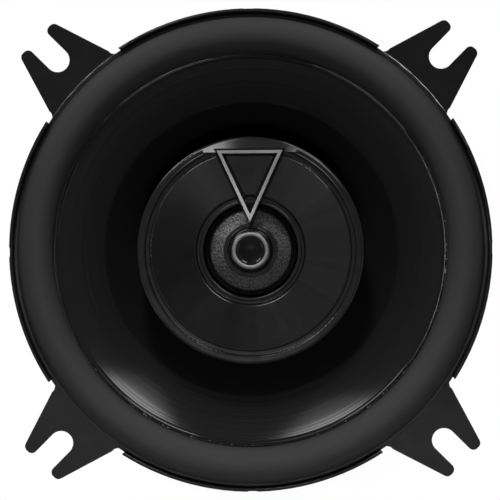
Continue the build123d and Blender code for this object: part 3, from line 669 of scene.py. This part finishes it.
under = CONE_CURVE - CONE_WALL - BOND_GAP
upper_bond = arc(cone_centre, under, EDGE_ANGLE + BOND_SWEEP, EDGE_ANGLE, 8)
lower_bond = arc(cone_centre, under - RUBBER + 2 * BOND_GAP, EDGE_ANGLE, EDGE_ANGLE + BOND_SWEEP, 8)
roll_top = three_point_arc((ROLL_START, top), (ROLL_MIDDLE, top + ROLL_RISE), (ROLL_END, top), 56)
crest = (ROLL_MIDDLE, top + ROLL_RISE - RUBBER)
roll_under = three_point_arc((ROLL_END - RUBBER, bottom), crest, (ROLL_START + RUBBER, bottom), 48)
hem = [(49.75, top), (50.0, top - 0.06), (50.08, top - 0.2), (50.08, bottom)]
profile = upper_bond + roll_top + hem + roll_under + lower_bond
surround = lathe("surround_roll", profile, LOOKS["surround_rubber"], 360, 60.0)
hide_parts("surround")
radial_blend(surround)

# ------------------------------------------------------------------------------------------- spider
SPIDER_Z, SPIDER_WALL = -20.225, 0.3
WAVES, WAVE_START, WAVE_END, WAVE_HEIGHT, WAVE_STEPS = 8, 14.5, 28.0, 0.6, 12
middle = [(FORMER + 0.35, SPIDER_Z + 1.2), (FORMER + 0.36, SPIDER_Z + 0.45), (FORMER + 0.6, SPIDER_Z + 0.12)]
middle.append((13.9, SPIDER_Z))
for i in range(WAVE_STEPS * WAVES + 1):
    along = i / (WAVE_STEPS * WAVES)
    wave = WAVE_HEIGHT * math.sin(math.pi * WAVES * along)
    middle.append((WAVE_START + (WAVE_END - WAVE_START) * along, SPIDER_Z + wave))
middle += [(28.8, SPIDER_Z), (31.3, SPIDER_Z)]
line = np.array(middle)
tangent = np.gradient(line, axis=0)
tangent /= np.linalg.norm(tangent, axis=1)[:, None]
half_wall = np.stack([-tangent[:, 1], tangent[:, 0]], axis=1) * SPIDER_WALL / 2
profile = [tuple(p) for p in line + half_wall] + [tuple(p) for p in (line - half_wall)[::-1]]
spider = lathe("spider_cloth", profile, LOOKS["spider_cloth"], 240, 60.0)
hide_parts("spider")
radial_blend(spider)

# ------------------------------------------------------------------------------------------- tweeter
DOME_RADIUS, DOME_INNER, DOME_RISE, DOME_TOP, SILK = 8.5, 8.46, 2.45, 1.8, 0.12
foot = DOME_TOP - DOME_RISE
outer = (DOME_RADIUS**2 + DOME_RISE**2) / (2 * DOME_RISE)
inner = outer - SILK
dome_z = DOME_TOP - outer
dome_out = [(r, dome_z + math.sqrt(outer**2 - r**2)) for r in np.linspace(0, DOME_RADIUS, 40)]
dome_in = [(r, dome_z + math.sqrt(inner**2 - r**2)) for r in np.linspace(DOME_INNER, 0, 40)]
skirt = [(8.62, foot - 0.02), (8.78, foot), (8.78, foot - SILK), (8.6, foot - SILK)]
dome = lathe("dome_skin", dome_out + skirt + dome_in, LOOKS["dome_silk"], 200, 60.0)
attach(dome, TWEETER)
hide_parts("tweeter_dome")

upper = three_point_arc((8.81, -0.66), (9.45, -0.36), (9.88, -1.2), 18)
lower = three_point_arc((9.78, -1.39), (9.4, -0.5), (8.81, -0.76), 18)
profile = upper + [(10.74, -1.21), (10.74, -1.39)] + lower
tweeter_roll = lathe("tweeter_roll", profile, LOOKS["dome_silk"], 200, 60.0)
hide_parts("tweeter_surround")
radial_blend(tweeter_roll)

# ------------------------------------------------------------------------------------------- glue
BEAD_RADIUS, BEAD_HEIGHT, BEAD_WIDTH, BEAD_THICKNESS = 41.2, 1.42, 0.3, 0.2
bead_random = random.Random(5)
squeeze = [bead_random.uniform(0.0, 1.0) for _ in range(96)]


def oval(radius, height, width, thickness):
    """Twelve points round an oval section, in millimetres."""
    angles = np.linspace(0, FULL_TURN, 12, endpoint=False)
    return [(radius + width * math.cos(a), height + thickness * math.sin(a)) for a in angles]


def uneven_bead(radius, height, angle):
    """Uneven squeeze-out along the cone's edge."""
    k = angle / FULL_TURN * len(squeeze)
    i, t = int(k) % len(squeeze), k - int(k)
    level = squeeze[i] * (1 - t) + squeeze[(i + 1) % len(squeeze)] * t
    lift = 0.7 + 0.4 * level * level
    return BEAD_RADIUS + (radius - BEAD_RADIUS) * lift, BEAD_HEIGHT + (height - BEAD_HEIGHT) * lift


profile = oval(BEAD_RADIUS, BEAD_HEIGHT, BEAD_WIDTH, BEAD_THICKNESS)
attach(lathe("edge_glue", profile, BLACK_GLUE, 360, 80.0, uneven_bead), CONE)

# Drops squeezed out along the cone's edge, thickest on the right and at the bottom: (azimuth, spread, count).
CLUSTERS = ((-4, 13, 13), (-42, 9, 9), (-57, 4, 5), (243, 9, 16), (265, 12, 8), (222, 6, 6), (30, 14, 5))
DROP_RADIUS, DROP_HEIGHT = 41.3, 1.64
drop_random = random.Random(23)
drops = []
for centre, spread, count in CLUSTERS:
    for _ in range(count):
        bearing = drop_random.gauss(centre, spread)
        radius = DROP_RADIUS + drop_random.uniform(-0.07, 0.12)
        drops.append((radius, bearing, DROP_HEIGHT, drop_random.uniform(0.05, 0.14)))
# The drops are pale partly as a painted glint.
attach(specks("glue_drops", drops, PAINTED_GLINT_GLUE), CONE)


def ring_point(radius, bearing, height):
    """A point round the axis, in metres, from millimetres and radians."""
    return Vector((radius * math.cos(bearing), radius * math.sin(bearing), height)) * MM


def taper(step, steps, least, length):
    """Scale along a run of steps: least at both ends, and growing by 1 in this many steps until it is 1."""
    return min(1.0, least + step / length, least + (steps - step) / length)


# A thread of glue that follows the cone's edge on the right, pale as a painted highlight along the edge's
# bright line.
THREAD_START, THREAD_SPAN, THREAD_STEPS = -38, 80, 240
THREAD_RADIUS, THREAD_HEIGHT, THREAD_SIZE = 41.02, 1.94, 0.055
thread_path, thread_swell = [], []
for step in range(THREAD_STEPS + 1):
    bearing = math.radians(THREAD_START + THREAD_SPAN * step / THREAD_STEPS)
    radius = THREAD_RADIUS + drop_random.uniform(-0.012, 0.012)
    thread_path.append(ring_point(radius, bearing, THREAD_HEIGHT))
    thread_swell.append(taper(step, THREAD_STEPS, 0.1, 60) * drop_random.uniform(0.7, 1.2))
size = THREAD_SIZE * MM
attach(tube("edge_thread", thread_path, size, PAINTED_GLINT_GLUE, 8, swell=thread_swell), CONE)

# Where the rubber is stuck down on the two far ears, an uneven black bead of glue that also stands as painted
# shade along the rubber's edge, and a paler thread of glue beyond that is a painted highlight, brighter on the
# right ear.
FIRST_EAR, NEXT_EAR, EAR_SPAN, EAR_STEPS, EAR_GLUE_HEIGHT = 45, 90, 22.4, 120, 0.84
for ear, thread_glue_painted_glint in enumerate((BRIGHTER_PAINTED_GLINT_GLUE, PAINTED_GLINT_GLUE)):
    for kind, radius, size, glue_and_painted_light in (("black", 50.16, 0.11, BLACK_GLUE), ("pale", 50.4, 0.055, thread_glue_painted_glint)):
        bead_path, bead_swell = [], []
        for step in range(EAR_STEPS + 1):
            bearing = math.radians(FIRST_EAR + NEXT_EAR * ear - EAR_SPAN / 2 + EAR_SPAN * step / EAR_STEPS)
            wander = radius + 0.04 * math.sin(64 * bearing + ear) + drop_random.uniform(-0.015, 0.015)
            bead_path.append(ring_point(wander, bearing, EAR_GLUE_HEIGHT))
            lumps = 0.7 + 0.5 * math.sin(31 * bearing + 2 * ear) ** 2 + drop_random.uniform(-0.15, 0.15)
            bead_swell.append(taper(step, EAR_STEPS, 0.15, 20) * lumps)
        name = f"flange_glue_{kind}_{ear}"
        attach(tube(name, bead_path, size * MM, glue_and_painted_light, 10, swell=bead_swell), FRAME)


def ring_glue(name, radius, height, width):
    """A fillet of glue round the axis, on the cone assembly."""

    def uneven(r, z, angle):
        swell = 1 + 0.18 * math.sin(7 * angle) + 0.1 * math.sin(17 * angle + 1)
        return radius + (r - radius) * swell, height + (z - height) * swell

    section = oval(radius, height, width, width)
    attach(lathe(name, section, BLACK_GLUE, 180, 80.0, uneven), CONE)


# Where the coil's former meets the cone's neck and the spider.
ring_glue("neck_glue", 13.35, -18.35, 0.42)
ring_glue("spider_glue", 13.2, -19.0, 0.4)

# ------------------------------------------------------------------------------------------- leads and solder
board_low, board_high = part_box("terminal_board")
board_y, board_top = (board_low.y + board_high.y) / 2 / MM, board_high.z / MM
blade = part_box("terminal_positive")[1] / MM
for side, label in ((-1, "negative"), (1, "positive")):
    # From the blade, in a slack curve, up to the cone's back.
    corners = [
        (side * 8.5, blade.y - 0.3, blade.z + 0.4),
        (side * 8.3, -32.6, blade.z + 1.2),
        (side * 7.6, -29.0, -16.6),
        (side * 6.4, -23.4, -15.9),
        (side * 5.5, -19.4, -14.3),
        (side * 5.2, -17.8, -12.35),
    ]
    path = smooth_path([tuple(c * MM for c in corner) for corner in corners], 26)
    lead = tube(f"tinsel_lead_{label}", path, 0.42 * MM, LOOKS["braid"], 18, twist=0.35, lobes=0.12)
    if side < 0:
        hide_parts("tinsel_leads")
    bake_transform(lead)
    joint, pad = (side * 8.5, blade.y - 0.4, blade.z + 0.25), (side * 5.2, -17.9, -12.5)
    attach(blob(f"solder_{label}", joint, 0.85, SOLDER, 3), FRAME)
    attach(blob(f"lead_glue_{label}", pad, 1.15, BLACK_GLUE, 9, 0.75), CONE)
# Where the tweeter's wire and the capacitor are soldered to the board.
for label, x, lift, size, seed in (("wire", -5.2, 0.5, 0.8, 4), ("capacitor", 11.6, 0.45, 0.75, 6)):
    joint = (x, board_y, board_top + lift)
    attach(blob(f"solder_{label}", joint, size, SOLDER, seed), FRAME)

# ------------------------------------------------------------------------------------------- studio
FLOOR_REACH, FLOOR_GAP = 3.0, 0.1 * MM
target = Vector((-0.00014, 0.00004, 0.0015))


def floor_material():
    """Pale, with a painted shadow only close under the speaker, dim in reflections, and open from below."""
    material = bpy.data.materials.new("studio_floor")
    material.use_nodes = True
    material.node_tree.nodes.clear()
    floor = Graph(material.node_tree, material.node_tree.nodes.new("ShaderNodeOutputMaterial"))
    rays = floor.node("LightPath")
    # Painted shadow: to the camera, the floor's glow is dimmed where the speaker is near, as a contact shadow.
    painted_contact_shadow = floor.node("AmbientOcclusion", {"samples": 8}, Distance=0.034)
    pale = floor.fit(painted_contact_shadow.outputs["AO"], 0.15, 0.85, 0.30, 1.0)
    bounce = floor.mix("FLOAT", rays.outputs["Is Glossy Ray"], 0.28, 0.05)
    strength = floor.mix("FLOAT", rays.outputs["Is Camera Ray"], bounce, pale)
    surface = floor.node("MixShader")
    floor.put(0, floor.node("NewGeometry").outputs["Backfacing"], surface)
    floor.put(1, floor.node("Emission", None, Strength=strength).outputs[0], surface)
    floor.put(2, floor.node("BsdfTransparent").outputs[0], surface)
    floor.put("Surface", surface.outputs[0])
    return material


floor_z = cad_box[0][2] - FLOOR_GAP
corners = [(x * FLOOR_REACH, y * FLOOR_REACH, floor_z) for x, y in ((-1, -1), (1, -1), (1, 1), (-1, 1))]
add_mesh("floor", corners, [(0, 1, 2, 3)], floor_material())

world = bpy.data.worlds.new("studio")
bpy.context.scene.world = world
world.use_nodes = True
sky = Graph(world.node_tree, world.node_tree.nodes["Background"])
rays = sky.node("LightPath").outputs
direction = sky.node("TexCoord").outputs["Generated"]
height = sky.node("SeparateXYZ", Vector=direction).outputs["Z"]
# Strength of the room by the sine of the height looked at: pale walls, a dark band and a paler one above it.
WALLS = ((0.0, 0.4), (0.24, 0.4), (0.38, 0.11), (0.58, 0.1))
CEILING = ((0.7, 0.14), (0.8, 0.25), (0.95, 0.1), (1.0, 0.1))
room = sky.node("ValToRGB", None, Fac=height)
stops = room.color_ramp.elements
for place, (sine, shade) in enumerate(WALLS + CEILING):
    stop = stops[place] if place < 2 else stops.new(sine)
    stop.position = sine
    stop.color = (shade, shade, shade, 1.0)
# Overhead, the room is brighter to the left than to the right.
overhead = sky.fit(height, 0.88, 0.95, 0.0, 1.0)
rightwards = sky.vector("DOT_PRODUCT", direction, (0.96, 0.29, 0.0))
leaning = sky.mix("FLOAT", overhead, 1.0, sky.fit(rightwards, -0.2, 0.2, 2.2, 0.5))
shaded = sky.math("MULTIPLY", room.outputs[0], leaning)
# The room shows mostly in reflections. To the camera it is a plain pale backdrop.
reflected = sky.math("MULTIPLY", shaded, sky.fit(rays["Is Diffuse Ray"], 0.0, 1.0, 1.0, 0.15))
sky.put("Strength", sky.mix("FLOAT", rays["Is Camera Ray"], reflected, 0.97))
sky.put("Color", (1.0, 1.0, 1.0, 1.0))


def add_lamp(kind, name, energy, place, away):
    """A lamp at a place, with its back to the direction away, and not seen by the camera."""
    light = bpy.data.lights.new(name, kind)
    light.energy = energy
    obj = bpy.data.objects.new(name, light)
    bpy.context.scene.collection.objects.link(obj)
    obj.location = place
    obj.rotation_euler = away.to_track_quat("Z", "Y").to_euler()
    obj.visible_camera = False
    return obj


def softbox(name, azimuth, polar, distance, width, height, radiance, shape="RECTANGLE"):
    """A softbox aimed at the speaker that only makes highlights. Its polar angle is from straight above."""
    a, p = math.radians(azimuth), math.radians(polar)
    away = Vector((math.sin(p) * math.cos(a), math.sin(p) * math.sin(a), math.cos(p)))
    area = width * height * (math.pi / 4 if shape == "ELLIPSE" else 1.0)
    lamp = add_lamp("AREA", name, radiance * math.pi * area, target + away * distance, away)
    lamp.data.shape = shape
    lamp.data.size, lamp.data.size_y = width, height
    lamp.visible_diffuse = False


def spot(name, place, aim, beam, energy, size=0.1):
    """A soft spotlight for shape in the matt parts only. Its beam fades from its middle to its edge."""
    lamp = add_lamp("SPOT", name, energy, Vector(place), Vector(place) - Vector(aim))
    lamp.data.shadow_soft_size = size
    lamp.data.spot_size = math.radians(beam)
    lamp.data.spot_blend = 1.0
    lamp.visible_glossy = False


# Angles in degrees, then distance, width and height in metres, and radiance.
# Each key is bright in its middle and dim round it, so that its reflection in the cone fades inwards.
softbox("key_left", 117.0, 27.5, 0.9, 0.26, 0.24, 6.0, "ELLIPSE")
softbox("key_left_halo", 117.0, 28.0, 0.9, 0.28, 0.44, 1.0, "ELLIPSE")
softbox("key_right", 53.0, 27.5, 0.9, 0.22, 0.24, 6.0, "ELLIPSE")
softbox("key_right_halo", 53.0, 28.0, 0.9, 0.24, 0.44, 0.9, "ELLIPSE")
softbox("near_ceiling", 259.0, 6.1, 0.9, 0.2, 0.065, 0.85)
for bearing, radiance in ((342.0, 0.5), (205.0, 0.9), (62.0, 7.0), (132.0, 7.0)):
    softbox(f"side_{bearing:.0f}", bearing, 81.0, 1.2, 0.5, 0.3, radiance)
# A low sweep from the far side, a pool of light on the near edge, and a glancing one on the dome's far left.
# Places in metres, then the beam in degrees and the energy in watts.
spot("sweep", (-0.105, 0.855, 0.40), (0.0, 0.0, 0.0), 46.0, 40.0)
spot("pool", (0.0, -0.21, 0.48), (0.0, -0.075, 0.0), 24.0, 12.0)
spot("dome_light", (-0.130, 0.245, 0.355), (-0.003, 0.0055, 0.0), 2.1, 12.0, size=0.003)

# ------------------------------------------------------------------------------------------- camera
CAMERA_DISTANCE, VIEW_WIDTH, CAMERA_ROLL = 0.9, 0.10557, -0.5
camera_data = bpy.data.cameras.new("camera")
camera = bpy.data.objects.new("camera", camera_data)
bpy.context.scene.collection.objects.link(camera)
camera_data.sensor_width = 36.0
camera_data.lens = camera_data.sensor_width * CAMERA_DISTANCE / VIEW_WIDTH
camera_data.clip_end = 10.0
lean = Vector((0.02, 0.02, 1.0)).normalized()
camera.location = target + lean * CAMERA_DISTANCE
across = Vector((0.0, 1.0, 0.0)).cross(lean).normalized()
upright = Matrix((across, lean.cross(across), lean)).transposed()
camera.rotation_euler = (upright @ Matrix.Rotation(math.radians(CAMERA_ROLL), 3, "Z")).to_euler()
bpy.context.scene.camera = camera
bpy.context.scene.view_settings.view_transform = "Standard"
bpy.context.scene.view_settings.look = "None"
